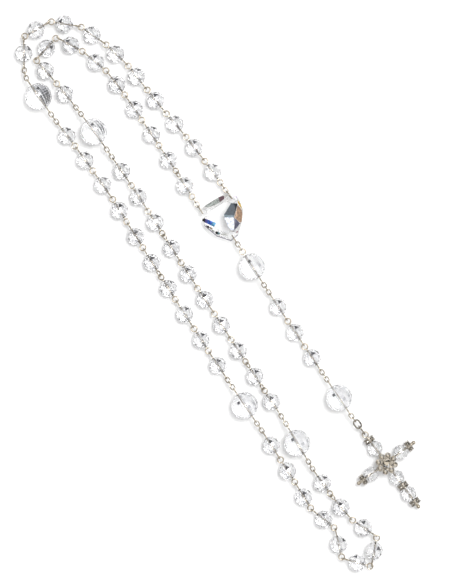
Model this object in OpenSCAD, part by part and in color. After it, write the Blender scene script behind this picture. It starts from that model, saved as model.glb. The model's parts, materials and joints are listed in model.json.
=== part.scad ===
// Crystal rosary: a loop of five decades, a centre crystal and a pendant strand with a beaded cross.
// It lies on the plane z = 0, with the back of the centre crystal at the origin and the cross towards -Y.

/* [Beads] */
// Width across the flats of a small bead (one Ave)
ave_d = 8; // [7:0.1:9.6]
// Width across the flats of a large bead (one Pater)
pater_d = 12; // [10:0.1:14.4]
// Running clearance between a bore and the wire in it
bore_clearance = 0.08; // [0.04:0.01:0.1]

/* [Eye pins] */
// Thickness of the eye pin wire
pin_wire_d = 0.6; // [0.5:0.02:0.72]
// Outside diameter of an eye
eye_d = 3.2; // [2.9:0.05:3.9]
// Straight wire between a bead and its eye
neck_l = 0.3; // [0.2:0.05:0.6]
// Gap between two wires that hang in each other
wire_gap = 0.1; // [0.06:0.01:0.14]

/* [Links] */
// Thickness of the chain link wire
link_wire_d = 0.5; // [0.42:0.02:0.6]
// Outside length of a chain link
link_l = 3.15; // [2.9:0.05:3.8]
// Outside width of a chain link
link_w = 2.3; // [2.2:0.05:2.8]
// Thickness of the jump ring wire at the centre crystal
ring_wire_d = 0.6; // [0.5:0.02:0.72]
// Outside diameter of a jump ring
ring_d = 4.8; // [4.4:0.1:5.8]
// Thickness of the wire of the two ovals above the cross
oval_wire_d = 0.7; // [0.6:0.02:0.84]
// Outside length of each oval above the cross
oval_l = 5; // [4.4:0.1:6]
// Outside width of each oval above the cross
oval_w = 3.4; // [3.2:0.1:4]

/* [Centre crystal] */
// Width of the centre crystal
centre_w = 20; // [17:0.5:24]
// Thickness of the centre crystal between its two flat tables
centre_t = 8; // [6.6:0.2:9.6]
// Thickness of its rim
rim_t = 1.8; // [1.4:0.1:2]
// Diameter of its three holes
hole_d = 1.6; // [1.4:0.1:1.8]

/* [Cross] */
// Diameter of a cross crystal
cross_bead_d = 7; // [5.8:0.1:8.4]
// Length of a cross crystal along its arm
cross_bead_l = 6.8; // [5.6:0.1:8.2]
// Distance from the middle of the cross to its first crystals
cross_hub_r = 4.8; // [4.2:0.1:5.8]
// Diameter of the wire in the arms
cross_wire_d = 0.8; // [0.7:0.02:0.96]
// Diameter of a rhinestone rondelle over its flanges
rondelle_d = 5; // [4.6:0.1:6]
// Length of a rondelle along its arm
rondelle_l = 2.2; // [2:0.1:2.6]
// Diameter of the tip at each free end
tip_d = 1.8; // [1.5:0.1:2.2]
// Diameter of the flower in the middle of the cross
flower_d = 10; // [9:0.2:12]
// Petal stones around the flower
petals = 8; // [6:1:9]

/* [Hidden] */

// Pieces of the chain, in the order in which they hang in each other
LINK = 1;
RING = 2;
OVAL = 3;
AVE = 4;
PATER = 5;
CROSS = 6;
spacer_links = 3;
decade_beads = 10;
step_fn = 24;
round_fn = 48;

function row(kind, count) = [for (i = [1:count]) kind];
decade = row(AVE, decade_beads);
spacer = row(LINK, spacer_links);
spaced_pater = concat(spacer, [PATER], spacer);
hanger = concat([RING], row(LINK, 2));
LOOP = concat(
    hanger, decade, spaced_pater, decade, spaced_pater, decade,
    spaced_pater, decade, spaced_pater, decade, row(LINK, 2), [RING]
);
DROP = concat(
    hanger, [PATER], spacer, row(AVE, 3), spacer, [PATER], row(LINK, 2), row(OVAL, 2), [CROSS]
);

// Sizes of each kind of piece
function is_pin(kind) = kind == AVE || kind == PATER || kind == CROSS;
function bead_size(kind) = kind == PATER ? pater_d : ave_d;
function wire_of(kind) =
    kind == LINK ? link_wire_d
    : kind == RING ? ring_wire_d
    : kind == OVAL ? oval_wire_d
    : pin_wire_d;
eye_r = (eye_d - pin_wire_d) / 2;
function reach(kind) =
    kind == LINK ? link_l - link_wire_d
    : kind == RING ? ring_d - ring_wire_d
    : kind == OVAL ? oval_l - oval_wire_d
    : 4 * eye_r + pin_wire_d + 2 * neck_l + bead_size(kind);
// How far the start of a piece reaches back past the wire that it hangs on
function nest(kinds, k) =
    k == 0 ? 0 : (wire_of(kinds[k - 1]) + wire_of(kinds[k])) / 2 + wire_gap;
function span(kinds, k) = reach(kinds[k]) - nest(kinds, k);

// Heights of the pivots: bead axes lie half a bead above the ground, and links slope between them
cross_z = cross_bead_d / 2;
rim_z = centre_t / 2;
function axis_z(kind) = kind == CROSS ? cross_z : bead_size(kind) / 2;
function anchor_before(kinds, k) = k == 0 || is_pin(kinds[k - 1]) ? k : anchor_before(kinds, k - 1);
function anchor_after(kinds, k) =
    k == len(kinds) || is_pin(kinds[k]) ? k : anchor_after(kinds, k + 1);
function anchor_z(kinds, k) =
    k < len(kinds) && is_pin(kinds[k]) ? axis_z(kinds[k])
    : k > 0 && is_pin(kinds[k - 1]) ? axis_z(kinds[k - 1])
    : rim_z;
function total(list, from, to) = from >= to ? 0 : list[from] + total(list, from + 1, to);
function ease(u) = u * u * (3 - 2 * u);
function heights(kinds) =
    let (spans = [for (k = [0:len(kinds) - 1]) span(kinds, k)])
    [for (k = [0:len(kinds)])
        let (a = anchor_before(kinds, k), b = anchor_after(kinds, k))
        let (za = anchor_z(kinds, a), zb = anchor_z(kinds, b))
        a == b ? za : za + (zb - za) * ease(total(spans, a, k) / total(spans, a, b))
    ];

// A chain is laid along a line of points, one piece after another
function ahead(p, a, b, len) =
    let (d = (b - a) / norm(b - a), m = a - p, h = m * d)
    a + d * (sqrt(max(h * h - m * m + len * len, 0)) - h);
function stretch_of(line, p, from, len) =
    from >= len(line) - 2 || norm(line[from + 1] - p) > len ? from
    : stretch_of(line, p, from + 1, len);
function advance(line, at, len) =
    let (j = stretch_of(line, at[0], at[1], len))
    [ahead(at[0], line[j], line[j + 1], len), j];
function lay(line, kinds, z) =
    let (flat = [for (k = [0:len(kinds) - 1]) sqrt(pow(span(kinds, k), 2) - pow(z[k + 1] - z[k], 2))])
    [for (k = 0, at = [line[0], 0]; k <= len(kinds);
        at = k < len(kinds) ? advance(line, at, flat[k]) : at, k = k + 1) [at[0].x, at[0].y, z[k]]];

// Outline and holes of the centre crystal, drawn for a crystal of this width
drawn_centre_w = 20;
centre_scale = centre_w / drawn_centre_w;
centre_outline = centre_scale * [
    [-7.6, 6.3], [-4, 7.4], [5.5, 7], [9.6, 5.4], [11, 2.6], [9.4, -4],
    [5.6, -8.4], [1.4, -12], [-2.8, -12.4], [-7, -7], [-9, 0]
];
// Each hole lies in from the rim by what its jump ring can pass round, at any size of the crystal
hole_left = centre_outline[0] + [1.1, -1.4];
hole_right = centre_outline[3] + [-1.5, -2.2];
hole_bottom = (centre_outline[7] + centre_outline[8]) / 2 + [-0.3, 1.6];
centre_middle = centre_scale * [1, -2];
table_share = 0.66;
seat_d = 3.6;

// The loop is laid as four strands, drawn for small beads at this pitch and strands this far apart.
// The line grows with whichever needs more room: the length of a small bead and its eyes, or a
// large bead beside a small one
drawn_pitch = 13.7;
drawn_strands = 10.8;
strand_gap = 0.8;
loop_scale = max(
    span([AVE, AVE], 1) / drawn_pitch,
    ((ave_d + pater_d) / 2 + strand_gap) / drawn_strands
);
inner_arc = [[-6, 76], [-6.4, 80], [-10.6, 94.6], [-16.8, 107], [-30.6, 103.8], [-28.6, 90], [-27.4, 77]];
strand_down = [[-26.4, 62], [-26, 30], [-26.6, 0], [-27.2, -50], [-27.6, -92]];
hairpin = [
    [-29, -118], [-28.6, -133], [-27, -146], [-21.8, -158], [-25.5, -167.4], [-35, -168.4], [-41.4, -160],
    [-35, -146], [-39.6, -134], [-39, -122], [-38.8, -110]
];
strand_up = [[-38.4, -92], [-38.6, -50], [-37.8, -10], [-36.4, 36], [-37.2, 60]];
outer_arc = [
    [-38.2, 76], [-38.6, 92], [-38.8, 97.8], [-37.9, 101.7], [-30.7, 115.2], [-18.2, 116.4], [-6.8, 108],
    [-1.2, 94.8], [2.4, 80]
];
strand_back = [[3.4, 67], [4.6, 53], [7, 33]];
function grown(points, dy = 0) = [for (p = points) loop_scale * p + [0, dy]];
// The hairpin at the far end of the loop moves by slack, so that the loop closes at any size
function loop_line(slack) = concat(
    [hole_left], grown([[-5.8, 30]]), grown(inner_arc), grown(strand_down),
    grown(hairpin, -slack), grown(strand_up), grown(outer_arc), grown(strand_back), [hole_right]
);
loop_z = heights(LOOP);
least_slack = -20;
most_slack = 40;
settle_tries = 32;
function short_by(slack) = hole_right.y - lay(loop_line(slack), LOOP, loop_z)[len(LOOP)].y;
function settled(low, high, tries) =
    let (middle = (low + high) / 2)
    tries == 0 ? middle
    : short_by(middle) > 0 ? settled(middle, high, tries - 1)
    : settled(low, middle, tries - 1);
loop_points = lay(loop_line(settled(least_slack, most_slack, settle_tries)), LOOP, loop_z);
drop_line = concat([hole_bottom], [[-1.5, -45], [-1.5, -105], [0, -136]]);
drop_points = lay(drop_line, DROP, heights(DROP));

// First piece of each run of the loop. The runs fold against each other at these pieces
RUNS = [0, 5, 6, 21, 22, 24, 26, 32, 49, 57, 59, 62, 63, 78, 79];
// Beads of the pendant strand that hang straight in the bead before them
DROP_FOLDS = [8, 9];
function toward(points, k) = (points[k + 1] - points[k]) / norm(points[k + 1] - points[k]);

// Rolls: a piece lies flat at 0 and stands on edge at 90, and each hangs a quarter turn from the last
twists = [0, 90, 0, 60, 30];
straight_limit = 8;
function turn_at(points, k) = acos(min(1, toward(points, k - 1) * toward(points, k)));
function links_left(kinds, k) = len(kinds) - 1 - k;
function start_roll(points, kinds, k, folds) =
    k == 0 ? 90
    : !is_pin(kinds[k - 1]) ? (start_roll(points, kinds, k - 1, folds) + 90) % 180
    : !is_pin(kinds[k]) ? (anchor_after(kinds, k) == len(kinds) ? 90 * (1 + links_left(kinds, k)) % 180 : 0)
    : len(search(k, folds)) > 0 || turn_at(points, k) > straight_limit ? 0
    : twists[k % len(twists)];
function end_roll(points, kinds, k, folds) = start_roll(points, kinds, k + 1, folds) + 90;

// Stands a piece at its place in the chain, with its own X axis along the chain
module at_piece(points, k) {
    way = toward(points, k);
    translate(points[k])
        rotate([0, -asin(way.z), atan2(way.y, way.x)])
            children();
}

module wire_ring(radius, wire)
    rotate_extrude($fn = round_fn)
        translate([radius, 0])
            circle(d = wire, $fn = step_fn);

module rod(d, from, to)
    translate([from, 0, 0])
        rotate([0, 90, 0])
            cylinder(d = d, h = to - from, $fn = step_fn);

// One closed link with straight sides and round ends, centred on the origin
module wire_oval(length, width, wire) {
    bend_r = (width - wire) / 2;
    side = length - width;
    for (turned = [0, 180])
        rotate([0, 0, turned]) {
            translate([side / 2, 0, 0])
                rotate([0, 0, -90])
                    rotate_extrude(angle = 180, $fn = round_fn)
                        translate([bend_r, 0])
                            circle(d = wire, $fn = step_fn);
            translate([0, bend_r, 0])
                rod(wire, -side / 2, side / 2);
        }
}

// Crystal cut in bands of flats round its bore. One flat of its widest band faces straight down
bead_sides = 10;
bead_bands = 5;
band_angle = 180 / (bead_bands + 1);
last_ring = bead_bands;
module cut_bead(d, length, bore) {
    corner = 1 / (cos(180 / bead_sides) * cos(band_angle / 2));
    rings = [for (i = [0:last_ring]) let (tilt = (i - last_ring / 2) * band_angle)
        [length / 2 * sin(tilt) / cos(band_angle / 2), d / 2 * corner * cos(tilt)]];
    difference() {
        polyhedron(
            points = [for (ring = rings, j = [0:bead_sides - 1])
                let (around = 360 * (j + 0.5) / bead_sides)
                [ring[0], ring[1] * sin(around), ring[1] * cos(around)]],
            faces = concat(
                [[for (j = [0:bead_sides - 1]) j]],
                [[for (j = [bead_sides - 1:-1:0]) last_ring * bead_sides + j]],
                [for (i = [0:bead_bands - 1], j = [0:bead_sides - 1])
                    let (next = (j + 1) % bead_sides, a = i * bead_sides, b = a + bead_sides)
                    [a + j, b + j, b + next, a + next]]
            )
        );
        rod(bore, -length, length);
    }
}

// Places along a pin, from its start
function eye_start(kinds, k) = 2 * eye_r - nest(kinds, k);
function bead_middle(kinds, k) =
    eye_start(kinds, k) + pin_wire_d / 2 + neck_l + bead_size(kinds[k]) / 2;
bead_bore = pin_wire_d + 2 * bore_clearance;

module eye_pin(points, kinds, k, folds) {
    end_eye = span(kinds, k) - eye_r;
    at_piece(points, k) {
        translate([eye_r - nest(kinds, k), 0, 0])
            rotate([start_roll(points, kinds, k, folds), 0, 0])
                wire_ring(eye_r, pin_wire_d);
        rod(pin_wire_d, eye_start(kinds, k), end_eye - eye_r);
        translate([end_eye, 0, 0])
            rotate([end_roll(points, kinds, k, folds), 0, 0])
                wire_ring(eye_r, pin_wire_d);
    }
}

module chain_piece(points, kinds, k, folds) {
    kind = kinds[k];
    at_piece(points, k)
        translate([reach(kind) / 2 - nest(kinds, k), 0, 0])
            rotate([start_roll(points, kinds, k, folds), 0, 0])
                if (kind == LINK)
                    wire_oval(link_l, link_w, link_wire_d);
                else if (kind == OVAL)
                    wire_oval(oval_l, oval_w, oval_wire_d);
                else
                    wire_ring((ring_d - ring_wire_d) / 2, ring_wire_d);
}

module bead(points, kinds, k) {
    d = bead_size(kinds[k]);
    at_piece(points, k)
        translate([bead_middle(kinds, k), 0, 0])
            cut_bead(d, d, bead_bore);
}

function run_end(run) = run == len(RUNS) - 1 ? len(LOOP) - 1 : RUNS[run + 1] - 1;
module run_beads(run)
    color("aliceblue")
        for (k = [RUNS[run]:run_end(run)])
            if (LOOP[k] == AVE)
                bead(loop_points, LOOP, k);

module run_wire(run)
    color("antiquewhite")
        for (k = [RUNS[run]:run_end(run)])
            if (is_pin(LOOP[k]))
                eye_pin(loop_points, LOOP, k, RUNS);
            else
                chain_piece(loop_points, LOOP, k, RUNS);

loop_paters = [for (k = [0:len(LOOP) - 1]) if (LOOP[k] == PATER) k];
module loop_pater(number)
    color("lightcyan")
        bead(loop_points, LOOP, loop_paters[number]);

module drop_bead(k)
    color(DROP[k] == PATER ? "lightcyan" : "aliceblue")
        bead(drop_points, DROP, k);

module drop_pin(k)
    color("antiquewhite")
        eye_pin(drop_points, DROP, k, DROP_FOLDS);

module drop_chain(from, to)
    color("antiquewhite")
        for (k = [from:to])
            chain_piece(drop_points, DROP, k, DROP_FOLDS);

module drop_oval(k)
    color("darkgray")
        chain_piece(drop_points, DROP, k, DROP_FOLDS);

// Centre crystal: a rim with a bevel up to each table, and a flat seat round each hole
module centre_crystal()
    color("lightblue")
        difference() {
            hull() {
                translate([0, 0, rim_z - rim_t / 2])
                    linear_extrude(rim_t)
                        polygon(centre_outline);
                linear_extrude(centre_t)
                    polygon([for (p = centre_outline) centre_middle + table_share * (p - centre_middle)]);
            }
            for (hole = [hole_left, hole_right, hole_bottom])
                translate(hole) {
                    translate([0, 0, -1])
                        cylinder(d = hole_d, h = centre_t + 2, $fn = step_fn);
                    for (seat = [rim_z + rim_t / 2, rim_z - rim_t / 2 - centre_t])
                        translate([0, 0, seat])
                            cylinder(d = seat_d, h = centre_t, $fn = round_fn);
                }
        }

// Cross: places along its upright, from the eye at its top
last = len(DROP) - 1;
top_rondelle = eye_start(DROP, last) + pin_wire_d / 2 + neck_l;
top_crystal = top_rondelle + rondelle_l;
cross_middle = top_crystal + cross_bead_l + cross_hub_r;
arm_crystal = cross_hub_r;
arm_rondelle = arm_crystal + cross_bead_l;
arm_tip = arm_rondelle + rondelle_l;
foot_crystal = arm_rondelle + rondelle_l;
foot_rondelle = foot_crystal + cross_bead_l;
foot_tip = foot_rondelle + rondelle_l;
cross_bore = cross_wire_d + 2 * bore_clearance;
hub_d = 5.2;
hub_half_h = 2.1;
collar_d = 1.8;
tip_gap = 0.6;
tip_neck_d = 0.8 * tip_d;

module at_cross()
    at_piece(drop_points, last)
        translate([cross_middle, 0, 0])
            children();

// The three free arms point to +X (the foot) and to +Y and -Y (the sides)
module side_arms()
    for (side = [-90, 90])
        rotate([0, 0, side])
            children();

module arm_end(tip_at) {
    rod(cross_wire_d, 0, tip_at + tip_gap + tip_d / 2);
    rod(collar_d, 0, cross_hub_r);
    translate([tip_at + tip_gap + tip_d / 2, 0, 0])
        sphere(d = tip_d, $fn = step_fn);
    rod(tip_neck_d, tip_at, tip_at + tip_gap + tip_d / 2);
}

module cross_frame()
    color("darkgray")
        at_cross() {
            translate([0, 0, -hub_half_h])
                cylinder(d = hub_d, h = 2 * hub_half_h, $fn = round_fn);
            arm_end(foot_tip);
            side_arms()
                arm_end(arm_tip);
            rod(pin_wire_d, eye_start(DROP, last) - cross_middle, top_rondelle - cross_middle);
            rod(cross_wire_d, top_rondelle - cross_middle, 0);
            rod(collar_d, -cross_hub_r, 0);
            translate([eye_r - nest(DROP, last) - cross_middle, 0, 0])
                rotate([start_roll(drop_points, DROP, last, DROP_FOLDS), 0, 0])
                    wire_ring(eye_r, pin_wire_d);
        }

module cross_crystal(from)
    translate([from + cross_bead_l / 2, 0, 0])
        cut_bead(cross_bead_d, cross_bead_l, cross_bore);

module cross_crystals()
    color("aliceblue")
        at_cross() {
            cross_crystal(top_crystal - cross_middle);
            cross_crystal(arm_crystal);
            cross_crystal(foot_crystal);
            side_arms()
                cross_crystal(arm_crystal);
        }

// Rondelles: a core with flats between two flanges, and a small stone on each flat
rondelle_stones = 10;
flange_t = 0.35;
core_r = 1.8;
stone_d = 1.1;
stone_h = 0.45;
stone_crown_h = 0.25;
stone_table_d = 0.6;
module rondelle(from)
    translate([from, 0, 0])
        rotate([0, 90, 0])
            difference() {
                union() {
                    rotate([0, 0, 180 / rondelle_stones])
                        cylinder(r = core_r / cos(180 / rondelle_stones), h = rondelle_l,
                            $fn = rondelle_stones);
                    for (flange = [0, rondelle_l - flange_t])
                        translate([0, 0, flange])
                            cylinder(d = rondelle_d, h = flange_t, $fn = round_fn);
                }
                translate([0, 0, -1])
                    cylinder(d = cross_bore, h = rondelle_l + 2, $fn = step_fn);
            }

module stone(d, h, crown_h, table_d) {
    cylinder(d = d, h = h, $fn = step_fn);
    translate([0, 0, h])
        cylinder(d1 = d, d2 = table_d, h = crown_h, $fn = step_fn);
}

module rondelle_ring_of_stones(from)
    translate([from + rondelle_l / 2, 0, 0])
        for (i = [0:rondelle_stones - 1])
            rotate([360 * i / rondelle_stones, 0, 0])
                translate([0, 0, core_r])
                    stone(stone_d, stone_h, stone_crown_h, stone_table_d);

module at_rondelles() {
    for (from = [top_rondelle - cross_middle, arm_rondelle, foot_rondelle])
        translate([from, 0, 0])
            children();
    side_arms()
        translate([arm_rondelle, 0, 0])
            children();
}

module cross_rondelles()
    color("gray")
        at_cross()
            at_rondelles()
                rondelle(0);

module cross_rondelle_stones()
    color("white")
        at_cross()
            at_rondelles()
                rondelle_ring_of_stones(0);

// Flower: a plate on the hub, with a cup in the middle and a ring of petal cups, each with a stone
plate_t = 0.6;
cup_h = 0.9;
cup_floor = 0.2;
cup_wall = 0.2;
petal_gap = 0.1;
heart_gap = 0.15;
petal_d = flower_d * sin(180 / petals) / (1 + sin(180 / petals)) - petal_gap;
heart_d = flower_d - 2 * (petal_d + heart_gap);
module at_cups(d_middle, d_petal) {
    cylinder(d = d_middle, h = cup_h, $fn = round_fn);
    for (i = [0:petals - 1])
        rotate([0, 0, 360 * i / petals])
            translate([(flower_d - petal_d) / 2, 0, 0])
                cylinder(d = d_petal, h = cup_h, $fn = round_fn);
}

module cross_flower()
    color("gray")
        at_cross()
            translate([0, 0, hub_half_h]) {
                cylinder(d = flower_d - petal_d, h = plate_t, $fn = round_fn);
                translate([0, 0, plate_t])
                    difference() {
                        at_cups(heart_d, petal_d);
                        translate([0, 0, cup_floor])
                            at_cups(heart_d - 2 * cup_wall, petal_d - 2 * cup_wall);
                    }
            }

stone_gap = 0.03;
module cross_flower_stones()
    color("white")
        at_cross()
            translate([0, 0, hub_half_h + plate_t + cup_floor]) {
                heart_stone = heart_d - 2 * cup_wall - 2 * stone_gap;
                petal_stone = petal_d - 2 * cup_wall - 2 * stone_gap;
                stone(heart_stone, cup_h - cup_floor, cup_h, heart_stone / 2);
                for (i = [0:petals - 1])
                    rotate([0, 0, 360 * i / petals])
                        translate([(flower_d - petal_d) / 2, 0, 0])
                            stone(petal_stone, cup_h - cup_floor, cup_h / 2, petal_stone / 2);
            }

centre_crystal();
run_beads(0);  // run_01_beads
run_wire(0);  // run_01_wire
run_beads(1);  // run_02_beads
run_wire(1);  // run_02_wire
run_beads(2);  // run_03_beads
run_wire(2);  // run_03_wire
run_beads(3);  // run_04_beads
run_wire(3);  // run_04_wire
run_beads(4);  // run_05_beads
run_wire(4);  // run_05_wire
run_beads(5);  // run_06_beads
run_wire(5);  // run_06_wire
run_beads(6);  // run_07_beads
run_wire(6);  // run_07_wire
run_beads(7);  // run_08_beads
run_wire(7);  // run_08_wire
run_beads(8);  // run_09_beads
run_wire(8);  // run_09_wire
run_beads(9);  // run_10_beads
run_wire(9);  // run_10_wire
run_beads(10);  // run_11_beads
run_wire(10);  // run_11_wire
run_beads(11);  // run_12_beads
run_wire(11);  // run_12_wire
run_beads(12);  // run_13_beads
run_wire(12);  // run_13_wire
run_beads(13);  // run_14_beads
run_wire(13);  // run_14_wire
run_beads(14);  // run_15_beads
run_wire(14);  // run_15_wire
loop_pater(0);  // loop_pater_1
loop_pater(1);  // loop_pater_2
loop_pater(2);  // loop_pater_3
loop_pater(3);  // loop_pater_4
drop_chain(0, 0);  // drop_ring
drop_chain(1, 2);  // drop_chain_1
drop_pin(3);  // drop_pater_1_pin
drop_bead(3);  // drop_pater_1_bead
drop_chain(4, 6);  // drop_chain_2
drop_pin(7);  // drop_ave_1_pin
drop_bead(7);  // drop_ave_1_bead
drop_pin(8);  // drop_ave_2_pin
drop_bead(8);  // drop_ave_2_bead
drop_pin(9);  // drop_ave_3_pin
drop_bead(9);  // drop_ave_3_bead
drop_chain(10, 12);  // drop_chain_3
drop_pin(13);  // drop_pater_2_pin
drop_bead(13);  // drop_pater_2_bead
drop_chain(14, 15);  // drop_chain_4
drop_oval(16);  // cross_ring
drop_oval(17);  // cross_bail
cross_frame();
cross_crystals();
cross_rondelles();
cross_rondelle_stones();
cross_flower();
cross_flower_stones();
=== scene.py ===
"""Crystal rosary: faceted glass beads on silver wire, a coated centre stone and a rhinestone cross."""

import json
import math
import random

import bmesh
import bpy
import numpy as np
from bpy.props import FloatProperty, FloatVectorProperty, IntProperty, PointerProperty
from mathutils import Matrix, Vector
from mathutils.geometry import delaunay_2d_cdt


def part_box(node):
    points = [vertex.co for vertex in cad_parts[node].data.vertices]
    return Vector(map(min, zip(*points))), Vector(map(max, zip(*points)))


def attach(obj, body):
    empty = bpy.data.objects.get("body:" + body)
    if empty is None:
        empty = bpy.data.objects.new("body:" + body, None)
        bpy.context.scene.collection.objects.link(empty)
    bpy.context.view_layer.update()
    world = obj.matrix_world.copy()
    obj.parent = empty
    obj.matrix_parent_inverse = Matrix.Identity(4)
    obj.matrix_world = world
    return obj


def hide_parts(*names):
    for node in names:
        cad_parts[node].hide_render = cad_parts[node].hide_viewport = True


bl_info = {
    "name": "Crystal Rosary",
    "version": (1, 0, 0),
    "blender": (4, 5, 0),
    "location": "3D View > Sidebar > Rosary",
    "description": "Dresses the rosary's frame with cut crystal, silver wire and rhinestones",
    "category": "Object",
}

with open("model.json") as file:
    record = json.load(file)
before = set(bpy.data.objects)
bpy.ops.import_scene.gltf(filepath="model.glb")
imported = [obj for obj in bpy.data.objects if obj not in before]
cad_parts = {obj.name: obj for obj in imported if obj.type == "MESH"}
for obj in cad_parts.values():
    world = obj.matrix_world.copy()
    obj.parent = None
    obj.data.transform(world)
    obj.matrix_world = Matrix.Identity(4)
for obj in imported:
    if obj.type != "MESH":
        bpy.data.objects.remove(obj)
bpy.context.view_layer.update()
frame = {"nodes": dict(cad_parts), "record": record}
SLOTS = {part["node"]: part["material_slot"] for part in frame["record"]["subparts"]}
BODIES = {node: body for body, nodes in frame["record"]["behaviour"]["bodies"].items() for node in nodes}
MM = 0.001
TO_LAMP = Vector((0.7, 0.14, 2.2)).normalized()


def linear(code):
    """Turns an sRGB hex colour into linear RGB."""
    parts = [int(code[i:i + 2], 16) / 255 for i in (1, 3, 5)]
    return tuple(c / 12.92 if c <= 0.04045 else ((c + 0.055) / 1.055) ** 2.4 for c in parts)


def sizes():
    """The rosary's sizes, as the panel shows them."""
    return bpy.context.scene.rosary_sizes


def colours():
    """The rosary's colours, as the panel shows them."""
    return bpy.context.scene.rosary_colours


# ---------------------------------------------------------------- places read from the frame

def islands(node):
    """The corner points of each loose piece of a CAD node, in metres."""
    mesh = bmesh.new()
    mesh.from_mesh(frame["nodes"][node].data)
    bmesh.ops.remove_doubles(mesh, verts=mesh.verts, dist=0.5e-6)
    mesh.verts.ensure_lookup_table()
    seen, found = set(), []
    for start in mesh.verts:
        if start.index in seen:
            continue
        seen.add(start.index)
        queue, points = [start], []
        while queue:
            vert = queue.pop()
            points.append(tuple(vert.co))
            for edge in vert.link_edges:
                other = edge.other_vert(vert)
                if other.index not in seen:
                    seen.add(other.index)
                    queue.append(other)
        found.append(np.array(points))
    mesh.free()
    return found


def middle(points):
    return Vector((points.min(0) + points.max(0)) / 2)


def long_axis(points):
    """Direction in which a loose piece is longest."""
    spread = points - points.mean(0)
    return Vector(np.linalg.eigh(spread.T @ spread)[1][:, 2])


def length_along(points, axis):
    reach = points @ np.array(axis)
    return float(reach.max() - reach.min())


def eye_pins():
    """Middle and direction of every eye pin. Links and rings are shorter than the beads' pins."""
    found = []
    for node, slot in SLOTS.items():
        if slot == "pin_wire":
            for points in islands(node):
                axis = long_axis(points)
                if length_along(points, axis) > sizes().small_bead:
                    found.append((middle(points), axis))
    return found


# ---------------------------------------------------------------- meshes

def mesh_object(name, points, faces):
    mesh = bpy.data.meshes.new(name)
    mesh.from_pydata([tuple(p) for p in points], [], faces)
    mesh.validate()
    built = bpy.data.objects.new(name, mesh)
    bpy.context.scene.collection.objects.link(built)
    return built


def outward(built):
    """Merges doubles, then turns every face outwards."""
    mesh = bmesh.new()
    mesh.from_mesh(built.data)
    bmesh.ops.remove_doubles(mesh, verts=mesh.verts, dist=1e-6)
    bmesh.ops.recalc_face_normals(mesh, faces=mesh.faces)
    mesh.to_mesh(built.data)
    mesh.free()
    return built


def tone_facets(built, tone_of):
    """Gives every facet of a cut piece the tone that tone_of picks for it: its own colour, or painted light and
    shade.
    """
    layer = built.data.color_attributes.new("facet_colour_and_painted_light", "FLOAT_COLOR", "CORNER")
    for polygon in built.data.polygons:
        tone = (*tone_of(polygon), 1)
        for corner in polygon.loop_indices:
            layer.data[corner].color = tone


def painted_side_light(row_angle, weights, rim, seed):
    """Painted light for a bead lit from its +Y side: rows of grey and dark facets there are painted reflections
    and dark sparks, and clear ones lie elsewhere.

    A facet that faces further than rim towards -Y is grey. This painted shade draws the bead's shaded edge.
    """
    chance = random.Random(seed)
    clear, grey = [linear(code) for code in ("#FFFFFF", "#FAFAFB")], linear("#97989F")
    dark = [linear(code) for code in ("#FFFFFF", "#F0F0F2", "#D8D9DC", "#A2A3A9", "#17171B")]

    def tone_of(facet):
        side, up = facet.normal.y, facet.normal.z
        # Painted shade on facets turned from the lamp, painted reflections and sparks on facets turned towards it
        if side < -rim:
            return grey
        if side < 0.12 or abs(facet.normal.x) > 0.95:
            return chance.choice(clear)
        row = int(math.degrees(math.atan2(up, side)) // row_angle)
        return chance.choices(dark, weights[row % 2])[0]

    return tone_of


def cut_bead(name, diameter, length, bore, sides, bands, staggered):
    """Faceted bead along X with a drilled bore. Staggered rings give lozenges, level rings a fine grid."""
    step = math.pi / (bands + 1)
    points, rings = [], []

    def ring(x, radius, shift):
        rings.append(len(points))
        for j in range(sides):
            turn = 2 * math.pi * (j + shift) / sides
            points.append((x, radius * math.sin(turn), radius * math.cos(turn)))

    ring(-length / 2 * math.cos(step / 2), bore / 2, 0)
    for i in range(bands + 1):
        tilt = -math.pi / 2 + step * (i + 0.5)
        ring(length / 2 * math.sin(tilt), diameter / 2 * math.cos(tilt), 0.5 * (i % 2) if staggered else 0)
    ring(length / 2 * math.cos(step / 2), bore / 2, 0)
    faces = []
    for i, start in enumerate(rings):
        wall = i == len(rings) - 1
        nxt = rings[0] if wall else rings[i + 1]
        lozenges = staggered and 0 < i < len(rings) - 2
        for j in range(sides):
            k = (j + 1) % sides
            if not lozenges:
                faces.append((start + j, start + k, nxt + k, nxt + j))
            elif i % 2:
                faces += [(start + j, start + k, nxt + j), (start + k, nxt + k, nxt + j)]
            else:
                faces += [(start + j, nxt + k, nxt + j), (start + j, start + k, nxt + k)]
    return outward(mesh_object(name, points, faces))


def cut_stone(name, sides, painted_foil_reflections):
    """Brilliant-cut stone of unit width and height, standing on XY along +X. Its facets carry a painted
    reflection each.
    """
    points, faces, tone = [], [], []
    rings = [(0, 0.5, 0), (0.55, 0.5, 0), (0.85, 0.38, 0.5), (1, 0.24, 0)]
    for x, radius, shift in rings:
        for j in range(sides):
            turn = 2 * math.pi * (j + shift) / sides
            points.append((x, radius * math.sin(turn), radius * math.cos(turn)))
    faces.append(tuple(range(sides)))
    tone.append(0)
    for i in range(len(rings) - 1):
        for j in range(sides):
            k = (j + 1) % sides
            a, b = i * sides, (i + 1) * sides
            if i == 0:
                quads = [(a + j, a + k, b + k, b + j)]
            elif i == 1:
                quads = [(a + j, a + k, b + j), (a + k, b + k, b + j)]
            else:
                quads = [(a + j, b + k, b + j), (a + j, a + k, b + k)]
            for n, face in enumerate(quads):
                faces.append(face)
                tone.append((2 * j + i + n) % len(painted_foil_reflections))
    faces.append(tuple(range(3 * sides, 4 * sides)))
    tone.append(4)
    stone = mesh_object(name, points, faces)
    tone_facets(stone, lambda facet: painted_foil_reflections[tone[facet.index]])
    return outward(stone)


# ---------------------------------------------------------------- geometry nodes

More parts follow.
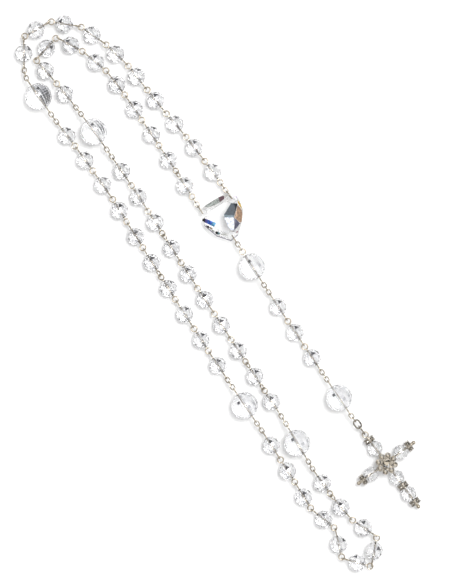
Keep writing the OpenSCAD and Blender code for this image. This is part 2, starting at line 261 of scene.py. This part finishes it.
def node(tree, kind, settings=None, links=None):
    """Adds one node with its settings, and links its inputs."""
    made = tree.nodes.new(kind)
    for key, value in (settings or {}).items():
        if isinstance(key, str) and hasattr(made, key):
            setattr(made, key, value)
        else:
            made.inputs[key].default_value = value
    for key, socket in (links or {}).items():
        tree.links.new(socket, made.inputs[key])
    return made


def setting_tree():
    """Sets a cut piece at every point: turned to the point's axis, spun at random about it, and sized."""
    name = "Set cut pieces"
    if name in bpy.data.node_groups:
        return bpy.data.node_groups[name]
    tree = bpy.data.node_groups.new(name, "GeometryNodeTree")
    add = tree.interface.new_socket
    add("Geometry", in_out="INPUT", socket_type="NodeSocketGeometry")
    add("Piece", in_out="INPUT", socket_type="NodeSocketObject")
    add("Finish", in_out="INPUT", socket_type="NodeSocketMaterial")
    add("Spin", in_out="INPUT", socket_type="NodeSocketFloat")
    add("Seed", in_out="INPUT", socket_type="NodeSocketInt")
    add("Geometry", in_out="OUTPUT", socket_type="NodeSocketGeometry")
    given = node(tree, "NodeGroupInput")
    axis = node(tree, "GeometryNodeInputNamedAttribute", {"data_type": "FLOAT_VECTOR", "Name": "axis"})
    size = node(tree, "GeometryNodeInputNamedAttribute", {"data_type": "FLOAT_VECTOR", "Name": "size"})
    aligned = node(tree, "FunctionNodeAlignRotationToVector", {"axis": "X"},
                   {"Vector": axis.outputs["Attribute"]})
    chance = node(tree, "FunctionNodeRandomValue", {"data_type": "FLOAT"}, {"Seed": given.outputs["Seed"]})
    amount = node(tree, "ShaderNodeMath", {"operation": "MULTIPLY"},
                  {0: chance.outputs[1], 1: given.outputs["Spin"]})
    spin = node(tree, "FunctionNodeAxisAngleToRotation", {"Axis": (1, 0, 0)}, {"Angle": amount.outputs[0]})
    turned = node(tree, "FunctionNodeRotateRotation", {"rotation_space": "LOCAL"},
                  {"Rotation": aligned.outputs[0], "Rotate By": spin.outputs[0]})
    piece = node(tree, "GeometryNodeObjectInfo", {}, {"Object": given.outputs["Piece"]})
    placed = node(tree, "GeometryNodeInstanceOnPoints", {}, {
        "Points": given.outputs["Geometry"], "Instance": piece.outputs["Geometry"],
        "Rotation": turned.outputs[0], "Scale": size.outputs["Attribute"]})
    solid = node(tree, "GeometryNodeRealizeInstances", {}, {"Geometry": placed.outputs[0]})
    dressed = node(tree, "GeometryNodeSetMaterial", {},
                   {"Geometry": solid.outputs[0], "Material": given.outputs["Finish"]})
    node(tree, "NodeGroupOutput", {}, {"Geometry": dressed.outputs[0]})
    return tree


def set_pieces(name, places, piece, finish, spin, seed):
    """Makes one plain mesh of a cut piece repeated at places, each an (x, y, z), an axis and a size."""
    host = mesh_object(name, [p for p, _, _ in places], [])
    for key, column in (("axis", 1), ("size", 2)):
        layer = host.data.attributes.new(key, "FLOAT_VECTOR", "POINT")
        for i, place in enumerate(places):
            layer.data[i].vector = place[column]
    tree = setting_tree()
    modifier = host.modifiers.new("Set cut pieces", "NODES")
    modifier.node_group = tree
    sockets = {item.name: item.identifier for item in tree.interface.items_tree if item.in_out == "INPUT"}
    modifier[sockets["Piece"]] = piece
    modifier[sockets["Finish"]] = finish
    modifier[sockets["Spin"]] = spin
    modifier[sockets["Seed"]] = seed
    graph = bpy.context.evaluated_depsgraph_get()
    plain = bpy.data.meshes.new_from_object(host.evaluated_get(graph), depsgraph=graph)
    host.modifiers.remove(modifier)
    points = host.data
    host.data = plain
    bpy.data.meshes.remove(points)
    if not len(plain.polygons):
        raise RuntimeError(f"{name}: nothing was set")
    return host


def stand_in(built, cad_node):
    """The finished piece rides on its node's body, in that node's place, and the node is hidden."""
    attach(built, BODIES[cad_node])
    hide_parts(cad_node)


# ---------------------------------------------------------------- materials

def new_material(name):
    material = bpy.data.materials.new(name)
    material.use_nodes = True
    tree = material.node_tree
    return material, tree, tree.nodes["Principled BSDF"]


def cut_crystal(name, tint, edge, see_through):
    """Machine-cut full lead crystal: polished facets, clear face on, with painted grey shade where they turn away
    from the view and a painted reflection on each facet.
    """
    material, tree, shader = new_material(name)
    # Painted reflection and shade: the colour turns from the tint to the edge grey where a facet turns away from
    # the view, which draws the outline of each facet
    facing = node(tree, "ShaderNodeLayerWeight", {"Blend": 0.25})
    turned = node(tree, "ShaderNodeMapRange", {"From Min": 0.5}, {"Value": facing.outputs["Facing"]})
    glass = node(tree, "ShaderNodeMix", {"data_type": "RGBA", 6: (*tint, 1), 7: (*edge, 1)},
                 {0: turned.outputs[0]})
    # Painted reflections: each facet's stored tone darkens the colour, standing for the part of the room that the
    # back of the cut throws to the eye through it
    tone = node(tree, "ShaderNodeAttribute", {"attribute_name": "facet_colour_and_painted_light"})
    shade = node(tree, "ShaderNodeMix", {"data_type": "RGBA", "blend_type": "MULTIPLY", 0: 1.0},
                 {6: glass.outputs[2], 7: tone.outputs["Color"]})
    tree.links.new(shade.outputs[2], shader.inputs["Base Color"])
    # Handling leaves the polish a little uneven
    place = node(tree, "ShaderNodeTexCoord")
    wear = node(tree, "ShaderNodeTexNoise", {"Scale": 1 / (0.9 * MM)}, {"Vector": place.outputs["Object"]})
    rough = node(tree, "ShaderNodeMapRange", {"To Max": 0.05}, {"Value": wear.outputs["Fac"]})
    tree.links.new(rough.outputs[0], shader.inputs["Roughness"])
    shader.inputs["IOR"].default_value = 1.56
    shader.inputs["Transmission Weight"].default_value = 1.0
    shader.inputs["Alpha"].default_value = see_through
    return material


def coated_facets():
    """Iridescent crystal: a vacuum-laid metal film that tints each facet like a mirror; two facets carry a
    painted highlight and a painted shade instead.
    """
    material, tree, shader = new_material("iridescent_coated_crystal")
    tint = node(tree, "ShaderNodeAttribute", {"attribute_name": "facet_colour_and_painted_light"})
    # The film is uneven, so a facet is mottled from tooth to tooth
    place = node(tree, "ShaderNodeTexCoord")
    cloud = node(tree, "ShaderNodeTexNoise", {"Scale": 1 / (0.8 * MM), "Detail": 4.0},
                 {"Vector": place.outputs["Object"]})
    patch = node(tree, "ShaderNodeMapRange",
                 {"From Min": 0.35, "From Max": 0.65, "To Min": 0.45, "To Max": 1.15},
                 {"Value": cloud.outputs["Fac"]})
    shade = node(tree, "ShaderNodeVectorMath", {"operation": "SCALE"},
                 {0: tint.outputs["Color"], "Scale": patch.outputs[0]})
    tree.links.new(shade.outputs[0], shader.inputs["Base Color"])
    shader.inputs["Metallic"].default_value = 0.25
    shader.inputs["Roughness"].default_value = 0.3
    return material


def metal(name, bright, tarnish, roughness, patch_mm):
    """Silver plate: rubbed bright where hands reach it, with brown tarnish left in patches."""
    material, tree, shader = new_material(name)
    place = node(tree, "ShaderNodeTexCoord")
    patches = node(tree, "ShaderNodeTexNoise", {"Scale": 1 / (patch_mm * MM), "Detail": 3.0},
                   {"Vector": place.outputs["Object"]})
    rubbed = node(tree, "ShaderNodeMapRange", {"From Min": 0.35, "From Max": 0.65},
                  {"Value": patches.outputs["Fac"]})
    shade = node(tree, "ShaderNodeMix", {"data_type": "RGBA", 6: (*tarnish, 1), 7: (*bright, 1)},
                 {0: rubbed.outputs[0]})
    tree.links.new(shade.outputs[2], shader.inputs["Base Color"])
    # Drawing and casting leave a grain finer than this; it is cut coarse enough to break the highlights
    grain = node(tree, "ShaderNodeTexNoise", {"Scale": 1 / (0.15 * MM)}, {"Vector": place.outputs["Object"]})
    bump = node(tree, "ShaderNodeBump", {"Strength": 0.25, "Distance": 0.02 * MM},
                {"Height": grain.outputs["Fac"]})
    tree.links.new(bump.outputs[0], shader.inputs["Normal"])
    rough = node(tree, "ShaderNodeMapRange", {"To Min": roughness + 0.15, "To Max": roughness},
                 {"Value": rubbed.outputs[0]})
    tree.links.new(rough.outputs[0], shader.inputs["Roughness"])
    shader.inputs["Metallic"].default_value = 1.0
    return material


def foiled_glass():
    """Rhinestone: cut glass with mirror foil behind it; each facet is painted bright or dark, a painted
    reflection of the foil.
    """
    material, tree, shader = new_material("foiled_rhinestone")
    tone = node(tree, "ShaderNodeAttribute", {"attribute_name": "facet_colour_and_painted_light"})
    # Grime round the setting dulls the foil here and there
    place = node(tree, "ShaderNodeTexCoord")
    grime = node(tree, "ShaderNodeTexNoise", {"Scale": 1 / (0.4 * MM)}, {"Vector": place.outputs["Object"]})
    dull = node(tree, "ShaderNodeMapRange", {"From Min": 0.35, "From Max": 0.65, "To Min": 0.7},
                {"Value": grime.outputs["Fac"]})
    shade = node(tree, "ShaderNodeVectorMath", {"operation": "SCALE"},
                 {0: tone.outputs["Color"], "Scale": dull.outputs[0]})
    tree.links.new(shade.outputs[0], shader.inputs["Base Color"])
    shader.inputs["Metallic"].default_value = 0.6
    shader.inputs["Roughness"].default_value = 0.15
    shader.inputs["Coat Weight"].default_value = 0.3
    return material


def paper():
    """Matt white backdrop card, with the faint tooth of uncoated paper."""
    material, tree, shader = new_material("white_backdrop_card")
    place = node(tree, "ShaderNodeTexCoord")
    tooth = node(tree, "ShaderNodeTexNoise", {"Scale": 1 / (2 * MM)}, {"Vector": place.outputs["Object"]})
    shade = node(tree, "ShaderNodeMix",
                 {"data_type": "RGBA", 6: (*linear("#FAFAFA"), 1), 7: (*linear("#FDFDFD"), 1)},
                 {0: tooth.outputs["Fac"]})
    tree.links.new(shade.outputs[2], shader.inputs["Base Color"])
    shader.inputs["Roughness"].default_value = 0.9
    shader.inputs["Specular IOR Level"].default_value = 0.1
    return material


# ---------------------------------------------------------------- centre stone

# Outline of the stone's girdle in millimetres, and the film's tint on each coated facet; the last two facets are
# a painted highlight and a painted shade
GIRDLE = [(-7.6, 6.3), (-4, 7.4), (5.5, 7), (9.6, 5.4), (11, 2.6), (9.4, -4), (5.6, -8.4), (1.4, -12),
          (-2.8, -12.4), (-7, -7), (-9, 0)]
STONE_MIDDLE = (1, -2)
TABLE_SHARE = 0.66
HOLES = [(-6.5, 4.9), (8.1, 3.2), (-1, -10.6)]
SEAT_RAMP = 0.5
FACETS = [
    ("#AEB4B0", [(-4.3, 7.0), (-2.9, 5.9), (-0.4, 5.1), (2.6, 4.7), (3.4, 7.0), (1.0, 7.1), (-2.6, 7.2)]),
    ("#6B5058", [(3.4, 7.0), (2.6, 4.7), (5.0, 4.9), (6.0, 5.6), (5.5, 6.5)]),
    ("#2B3640", [(6.7, 1.7), (8.2, 0.5), (4.6, -3.6), (1.1, -0.9)]),
    ("#121318", [(8.2, 0.5), (9.0, -0.1), (7.0, -1.9), (4.1, -4.3), (4.6, -3.6)]),
    ("#64747E", [(1.1, -0.9), (4.6, -3.6), (4.1, -4.3), (0.6, -1.9)]),
    ("#A48469", [(8.7, -0.6), (8.9, -3.5), (8.3, -5.0), (6.1, -7.7), (5.2, -8.0), (4.3, -4.6), (7.0, -2.1)]),
    ("#D2D8E8", [(0.6, -2.1), (4.0, -4.5), (0.9, -9.2), (0.1, -8.2), (-0.2, -7.0)]),
    ("#505166", [(4.2, -4.8), (5.0, -8.1), (2.8, -8.8), (1.1, -9.2)]),
    ("#C9A545", [(9.9, 1.3), (10.1, -0.7), (9.2, -3.3), (9.1, -1.0), (9.2, 0.1)]),
    ("#16161A", [(-8.2, 2.8), (-7.1, 2.8), (-6.7, 2.2), (-8.0, 1.1), (-8.4, 2.1)]),
    ("#4B4A92", [(-6.7, 2.2), (-6.0, 1.2), (-7.4, 0.2), (-8.0, 1.1)]),
    ("#2F5CBA", [(-6.0, 1.2), (-4.8, -0.7), (-6.4, -1.6), (-7.4, 0.2)]),
    ("#4A8DB4", [(-4.8, -0.7), (-3.9, -2.0), (-5.6, -3.0), (-6.4, -1.6)]),
    ("#3F3638", [(-8.4, -0.3), (-7.2, -1.3), (-7.5, -2.5), (-8.2, -1.7)]),
    ("#A08A78", [(-7.1, -1.7), (-6.4, -3.0), (-7.0, -3.5), (-7.5, -2.7)]),
    ("#43503F", [(-7.3, -3.8), (-6.7, -3.7), (-6.6, -4.4), (-7.2, -4.5)]),
    ("#101317", [(-6.3, -4.9), (-5.3, -5.6), (-6.2, -6.7), (-6.8, -5.9)]),
    ("#5C7D86", [(-5.3, -5.6), (-4.8, -6.7), (-5.6, -7.2), (-6.2, -6.7)]),
    ("#CFD0CC", [(-4.8, -7.1), (-2.5, -8.4), (-3.1, -9.3), (-5.2, -7.6)]),
    ("#7A3A44", [(1.9, -9.9), (2.2, -10.4), (1.6, -10.9), (1.3, -10.6)]),
    ("#5A5A58", [(0.5, -8.9), (0.9, -9.4), (0.5, -9.6), (0.1, -9.2)]),
    # Painted highlight: a pale lavender patch at the stone's upper right, towards the lamp
    ("#DCD4E8", [(9.1, 4.4), (10.2, 3.4), (10.5, 2.1), (9.3, 2.2)]),
    # Painted shade: a grey strip along the stone's lower-left girdle, away from the lamp
    ("#9B9AA2", [(-9, 0), (-7, -7), (-2.8, -12.4), (1.4, -12), (1.3, -11.55), (-2.6, -11.9), (-6.6, -6.75),
                 (-8.55, -0.1)]),
]


def inside(point, polygon):
    x, y = point
    hit = False
    for (x1, y1), (x2, y2) in zip(polygon, polygon[1:] + polygon[:1]):
        if (y1 > y) != (y2 > y) and x < (x2 - x1) * (y - y1) / (y2 - y1) + x1:
            hit = not hit
    return hit


def share_of_outline(x, y):
    """0 at the stone's middle and 1 at its girdle."""
    most = 0
    for (x1, y1), (x2, y2) in zip(GIRDLE, GIRDLE[1:] + GIRDLE[:1]):
        out = Vector((y2 - y1, x1 - x2)).normalized()
        edge = out.dot(Vector((x1, y1)) - Vector(STONE_MIDDLE))
        most = max(most, out.dot(Vector((x, y)) - Vector(STONE_MIDDLE)) / edge)
    return most


def circle(centre, radius, count):
    turns = [2 * math.pi * i / count for i in range(count)]
    return [(centre[0] + radius * math.cos(turn), centre[1] + radius * math.sin(turn)) for turn in turns]


def stone_face(top, rim, polygons):
    """Flat map of one side of the stone: its points with their heights, and triangles with a tint or None."""
    mid_x, mid_y = STONE_MIDDLE
    table = [(mid_x + TABLE_SHARE * (x - mid_x), mid_y + TABLE_SHARE * (y - mid_y)) for x, y in GIRDLE]
    flat, edges = [], []
    seat = sizes().stone_seat / 2 / MM

    def loop(points):
        start = len(flat)
        flat.extend(points)
        edges.extend((start + i, start + (i + 1) % len(points)) for i in range(len(points)))

    loop(GIRDLE)
    loop(table)
    for hole in HOLES:
        for radius in (sizes().stone_hole / 2 / MM, seat, seat + SEAT_RAMP):
            loop(circle(hole, radius, 16))
    for _, polygon in polygons:
        loop(polygon)
    points, _, faces, _, _, _ = delaunay_2d_cdt([Vector(p) for p in flat], edges, [], 0, 1e-4)
    seats = [Vector(h) for h in HOLES]
    heights = []
    for p in points:
        share = share_of_outline(*p)
        slope = min(1, max(0, (1 - share) / (1 - TABLE_SHARE)))
        near = min((p - s).length for s in seats)
        slope *= min(1, max(0, (near - seat) / SEAT_RAMP))
        heights.append(rim + (top - rim) * slope)
    kept = []
    for face in faces:
        centre = sum((points[i] for i in face), Vector((0, 0))) / len(face)
        in_hole = min((centre - s).length for s in seats) < sizes().stone_hole / 2 / MM * 0.98
        if in_hole or not inside(centre, GIRDLE):
            continue
        tint = next((code for code, polygon in polygons if inside(centre, polygon)), None)
        kept.append((face, tint))
    return points, heights, kept


def build_centre_stone():
    """The stone's two faces and the walls of its girdle and holes, with the coated facets on material 1."""
    low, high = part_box("centre_crystal")
    thick = (high.z - low.z) / MM
    rim_low, rim_high = (thick - sizes().stone_rim / MM) / 2, (thick + sizes().stone_rim / MM) / 2
    points, faces, tints = [], [], []
    for side, top, rim, polygons in ((1, thick, rim_high, FACETS), (-1, 0, rim_low, [])):
        start = len(points)
        flat, heights, kept = stone_face(top, rim, polygons)
        points += [(p.x * MM, p.y * MM, h * MM) for p, h in zip(flat, heights)]
        for face, tint in kept:
            faces.append(tuple(start + i for i in (face if side > 0 else reversed(face))))
            tints.append(tint)
    for ring in [GIRDLE] + [circle(h, sizes().stone_hole / 2 / MM, 16) for h in HOLES]:
        start, count = len(points), len(ring)
        for edge in (rim_low, rim_high):
            points += [(x * MM, y * MM, edge * MM) for x, y in ring]
        for i in range(count):
            j = (i + 1) % count
            faces.append((start + i, start + j, start + count + j, start + count + i))
            tints.append(None)
    stone = mesh_object("centre_stone", points, faces)
    for polygon, tint in zip(stone.data.polygons, tints):
        polygon.material_index = 1 if tint else 0
    tone_facets(stone, lambda facet: linear(tints[facet.index] or "#FFFFFF"))
    return outward(stone)


# ---------------------------------------------------------------- settings

def length_setting(name, description, default):
    return FloatProperty(name=name, description=description, default=default, min=0, unit="LENGTH",
                         precision=4)


def count_setting(name, description, default, least, most):
    return IntProperty(name=name, description=description, default=default, min=least, max=most)


def colour_setting(name, description, code):
    return FloatVectorProperty(name=name, description=description, subtype="COLOR", size=3, min=0, max=1,
                               default=linear(code))


class RosarySizes(bpy.types.PropertyGroup):
    """Sizes of the rosary's cut pieces"""
    small_bead: length_setting("Small bead", "Diameter of a small bead", 8 * MM)
    large_bead: length_setting("Large bead", "Diameter of a large bead", 12 * MM)
    cross_bead: length_setting("Cross bead", "Diameter of a crystal on the cross", 7 * MM)
    cross_bead_length: length_setting("Cross bead length", "Length of a crystal on the cross", 6.8 * MM)
    bore: length_setting("Bore", "Diameter of the bore through a bead", 0.76 * MM)
    cross_bore: length_setting("Cross bore", "Diameter of the bore through a crystal on the cross", 0.96 * MM)
    stone_hole: length_setting("Stone hole", "Diameter of the centre stone's holes", 1.6 * MM)
    stone_seat: length_setting("Stone seat", "Diameter of the flat seat round each hole in the stone", 3.6 * MM)
    stone_rim: length_setting("Stone rim", "Thickness of the centre stone at its girdle", 1.8 * MM)
    small_sides: count_setting("Small bead sides", "Facets around a small bead", 10, 6, 16)
    large_sides: count_setting("Large bead sides", "Facets around a large bead", 24, 12, 36)
    stone_sides: count_setting("Rhinestone sides", "Facets around a rhinestone", 6, 5, 12)


class RosaryColours(bpy.types.PropertyGroup):
    """Colours of the rosary's finishes"""
    crystal: colour_setting("Crystal", "Colour of the clear crystal", "#FFFFFF")
    # Painted shade: the grey that the crystal turns where a facet turns away from the view
    crystal_painted_edge_shade: colour_setting("Crystal edge", "Colour of the crystal where a facet turns away", "#B9BABF")
    wire: colour_setting("Wire", "Rubbed colour of the silver wire", "#C9C1B3")
    wire_tarnish: colour_setting("Wire tarnish", "Tarnished colour of the silver wire", "#928879")
    antique: colour_setting("Antique silver", "Rubbed colour of the cross's metal", "#B9B1A5")
    antique_tarnish: colour_setting("Antique tarnish", "Dark colour left in the cross's metal", "#433E37")


# ---------------------------------------------------------------- operators

def lit(axis):
    """The same axis, in the sense that turns a piece's +Y side, where its facets carry painted light, towards the
    lamp.
    """
    return axis if Vector((0, 0, 1)).cross(axis).dot(TO_LAMP) > 0 else -axis


def bead_places(cad_node, pins):
    """Middle, axis and scale of each bead of a CAD node. A bead's axis is that of the nearest pin."""
    places = []
    for points in islands(cad_node):
        centre = middle(points)
        axis = lit(min(pins, key=lambda pin: (pin[0] - centre).length)[1])
        places.append((centre, axis, (1, 1, 1)))
    return places


def dress_beads(slot, bead, finish):
    """Sets the cut bead in place of every CAD bead with this slot, then removes the loose one."""
    pins = eye_pins()
    for i, (cad_node, its_slot) in enumerate(sorted(SLOTS.items())):
        if its_slot == slot:
            places = bead_places(cad_node, pins)
            stand_in(set_pieces("cut_" + cad_node, places, bead, finish, 0.8, i), cad_node)
    bpy.data.objects.remove(bead)


class ROSARY_OT_small_beads(bpy.types.Operator):
    """Sets the small faceted beads on their pins"""
    bl_idname = "rosary.small_beads"
    bl_label = "Small beads"

    def execute(self, context):
        s, c = sizes(), colours()
        bead = cut_bead("small_bead", s.small_bead, s.small_bead, s.bore, s.small_sides, 5, True)
        # Painted reflections, dark sparks and a painted shaded edge on the small bead's facets
        tone_facets(bead, painted_side_light(360 / s.small_sides, ((38, 26, 22, 10, 4), (60, 24, 10, 4, 2)), 0.9, 3))
        dress_beads("ave_crystal", bead, cut_crystal("lead_crystal", c.crystal, c.crystal_painted_edge_shade, 0.93))
        return {"FINISHED"}


class ROSARY_OT_large_beads(bpy.types.Operator):
    """Sets the large, finely cut beads on their pins"""
    bl_idname = "rosary.large_beads"
    bl_label = "Large beads"

    def execute(self, context):
        s, c = sizes(), colours()
        bead = cut_bead("large_bead", s.large_bead, s.large_bead, s.bore, s.large_sides, 13, False)
        # Painted reflections, dark sparks and a painted shaded edge on the large bead's facets
        tone_facets(bead, painted_side_light(360 / s.large_sides, ((10, 25, 35, 24, 6), (75, 20, 5, 0, 0)), 0.93, 4))
        dress_beads("pater_crystal", bead, cut_crystal("fine_cut_crystal", c.crystal, c.crystal_painted_edge_shade, 0.9))
        return {"FINISHED"}


class ROSARY_OT_centre_stone(bpy.types.Operator):
    """Cuts the centre stone, clear with coated facets"""
    bl_idname = "rosary.centre_stone"
    bl_label = "Centre stone"

    def execute(self, context):
        c = colours()
        stone = build_centre_stone()
        stone.data.materials.append(cut_crystal("clear_centre_crystal", c.crystal, c.crystal_painted_edge_shade, 0.4))
        stone.data.materials.append(coated_facets())
        stand_in(stone, "centre_crystal")
        return {"FINISHED"}


class ROSARY_OT_wire(bpy.types.Operator):
    """Finishes the eye pins, links and jump rings in warm silver"""
    bl_idname = "rosary.wire"
    bl_label = "Wire"

    def execute(self, context):
        c = colours()
        finish = metal("silver_plated_wire", c.wire, c.wire_tarnish, 0.18, 1.8)
        for cad_node, slot in SLOTS.items():
            if slot == "pin_wire":
                mesh = frame["nodes"][cad_node].data
                mesh.materials.clear()
                mesh.materials.append(finish)
        return {"FINISHED"}


class ROSARY_OT_cross(bpy.types.Operator):
    """Dresses the cross: crystals, antique silver and rhinestones"""
    bl_idname = "rosary.cross"
    bl_label = "Cross"

    def execute(self, context):
        s, c = sizes(), colours()
        low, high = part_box("cross_flower")
        heart = (low + high) / 2
        bead = cut_bead("cross_bead", s.cross_bead, s.cross_bead_length, s.cross_bore, s.small_sides, 5, True)
        # Painted reflections, dark sparks and a painted shaded edge on the cross crystal's facets
        tone_facets(bead, painted_side_light(360 / s.small_sides, ((35, 30, 24, 9, 2), (60, 28, 9, 3, 0)), 0.9, 8))
        places = []
        for points in islands("cross_crystals"):
            centre = middle(points)
            arm = centre - heart
            arm.z = 0
            places.append((centre, lit(arm.normalized()), (1, 1, 1)))
        crystal = cut_crystal("cross_lead_crystal", c.crystal, c.crystal_painted_edge_shade, 0.85)
        stand_in(set_pieces("cut_cross_crystals", places, bead, crystal, 0.8, 5), "cross_crystals")
        bpy.data.objects.remove(bead)

        finish = metal("antiqued_silver", c.antique, c.antique_tarnish, 0.28, 0.9)
        for cad_node, slot in SLOTS.items():
            if slot == "antique_silver":
                mesh = frame["nodes"][cad_node].data
                mesh.materials.clear()
                mesh.materials.append(finish)

        # Painted reflections: dark, white and tan tones, one per facet, stand for what the foil throws back
        painted_foil_reflections = [linear(code) for code in (
            "#2A2622", "#FFFFFF", "#14120F", "#CDBFA8", "#DCD1BE", "#3A3530", "#FFFFFF", "#8E8270")]
        brilliant = cut_stone("brilliant", s.stone_sides, painted_foil_reflections)
        foil = foiled_glass()
        rondelles = [middle(points) for points in islands("cross_rondelles")]
        places = []
        for points in islands("cross_rondelle_stones"):
            centre = middle(points)
            hub = min(rondelles, key=lambda r: (r - centre).length)
            axis = (centre - hub).normalized()
            tall = length_along(points, axis)
            wide = length_along(points, axis.cross(Vector((0.3, 0.5, 0.8))).normalized())
            places.append((centre - axis * tall / 2, axis, (tall, wide, wide)))
        rondelle_stones = set_pieces("rondelle_rhinestones", places, brilliant, foil, 0.8, 11)
        stand_in(rondelle_stones, "cross_rondelle_stones")
        places = []
        for points in islands("cross_flower_stones"):
            centre = middle(points)
            base = Vector((centre.x, centre.y, points[:, 2].min()))
            wide = points[:, 0].max() - points[:, 0].min()
            tall = points[:, 2].max() - base.z
            places.append((base, (0, 0, 1), (tall, wide, wide)))
        flower_stones = set_pieces("flower_rhinestones", places, brilliant, foil, 2 * math.pi, 13)
        stand_in(flower_stones, "cross_flower_stones")
        bpy.data.objects.remove(brilliant)
        return {"FINISHED"}


class ROSARY_OT_stage(bpy.types.Operator):
    """Sets the backdrop card, the lights and the camera"""
    bl_idname = "rosary.stage"
    bl_label = "Stage"

    def execute(self, context):
        scene = context.scene
        reach = 3.0
        below = -0.1 * MM
        corners = [(-reach, -reach, below), (reach, -reach, below), (reach, reach, below), (-reach, reach, below)]
        card = mesh_object("backdrop_card", corners, [(0, 1, 2, 3)])
        card.data.materials.append(paper())

        world = bpy.data.worlds.new("soft_box")
        world.use_nodes = True
        scene.world = world
        tree = world.node_tree
        # A white tent with two dark flags, which put the dark sparks in the cut glass
        tree.nodes["Background"].inputs["Strength"].default_value = 0.8
        sky = node(tree, "ShaderNodeTexCoord")
        open_sky = []
        for flag, width in (((0.8, 0.35, 0.4), 0.93), ((-0.5, 0.75, 0.3), 0.95)):
            near = node(tree, "ShaderNodeVectorMath",
                        {"operation": "DOT_PRODUCT", 1: Vector(flag).normalized()},
                        {0: sky.outputs["Generated"]})
            edge = node(tree, "ShaderNodeMapRange",
                        {"From Min": width, "From Max": width + 0.01, "To Min": 1.0, "To Max": 0.02},
                        {"Value": near.outputs["Value"]})
            open_sky.append(edge.outputs[0])
        tent = node(tree, "ShaderNodeMath", {"operation": "MULTIPLY"}, {0: open_sky[0], 1: open_sky[1]})
        tree.links.new(tent.outputs[0], tree.nodes["Background"].inputs["Color"])

        key = bpy.data.lights.new("key", "AREA")
        key.shape = "DISK"
        key.size = 0.5
        key.energy = 10
        lamp = bpy.data.objects.new("key", key)
        scene.collection.objects.link(lamp)
        lamp.location = Vector((-0.017, -0.03, 0)) + TO_LAMP * 1.2
        lamp.rotation_euler = TO_LAMP.to_track_quat("Z", "Y").to_euler()

        camera = bpy.data.cameras.new("camera")
        camera.sensor_fit = "VERTICAL"
        camera.sensor_height = 24
        distance, view_height = 1.0, 0.2628
        camera.lens = camera.sensor_height * distance / view_height
        camera.clip_end = 20
        eye = bpy.data.objects.new("camera", camera)
        scene.collection.objects.link(eye)
        right, up = Vector((0.832, -0.555, 0)), Vector((0.555, 0.832, 0))
        eye.matrix_world = Matrix.Translation((-0.0173, -0.0301, distance)) @ Matrix(
            (right, up, right.cross(up))).transposed().to_4x4()
        scene.camera = eye
        scene.view_settings.view_transform = "Standard"
        return {"FINISHED"}


class ROSARY_PT_panel(bpy.types.Panel):
    """Lists the rosary's settings and its pieces"""
    bl_idname = "ROSARY_PT_panel"
    bl_label = "Crystal rosary"
    bl_space_type = "VIEW_3D"
    bl_region_type = "UI"
    bl_category = "Rosary"

    def draw(self, context):
        layout = self.layout
        for group in (context.scene.rosary_sizes, context.scene.rosary_colours):
            box = layout.box()
            for name in group.bl_rna.properties.keys():
                if name not in ("rna_type", "name"):
                    box.prop(group, name)
        for operator in OPERATORS:
            layout.operator(operator.bl_idname)


OPERATORS = (ROSARY_OT_small_beads, ROSARY_OT_large_beads, ROSARY_OT_centre_stone, ROSARY_OT_wire,
             ROSARY_OT_cross, ROSARY_OT_stage)
CLASSES = (RosarySizes, RosaryColours) + OPERATORS + (ROSARY_PT_panel,)


def register():
    for cls in CLASSES:
        bpy.utils.register_class(cls)
    bpy.types.Scene.rosary_sizes = PointerProperty(type=RosarySizes)
    bpy.types.Scene.rosary_colours = PointerProperty(type=RosaryColours)


def unregister():
    del bpy.types.Scene.rosary_colours
    del bpy.types.Scene.rosary_sizes
    for cls in reversed(CLASSES):
        bpy.utils.unregister_class(cls)


def main():
    """Builds every piece in order."""
    register()
    bpy.ops.rosary.small_beads()
    bpy.ops.rosary.large_beads()
    bpy.ops.rosary.centre_stone()
    bpy.ops.rosary.wire()
    bpy.ops.rosary.cross()
    bpy.ops.rosary.stage()


if __name__ == "__main__":
    main()
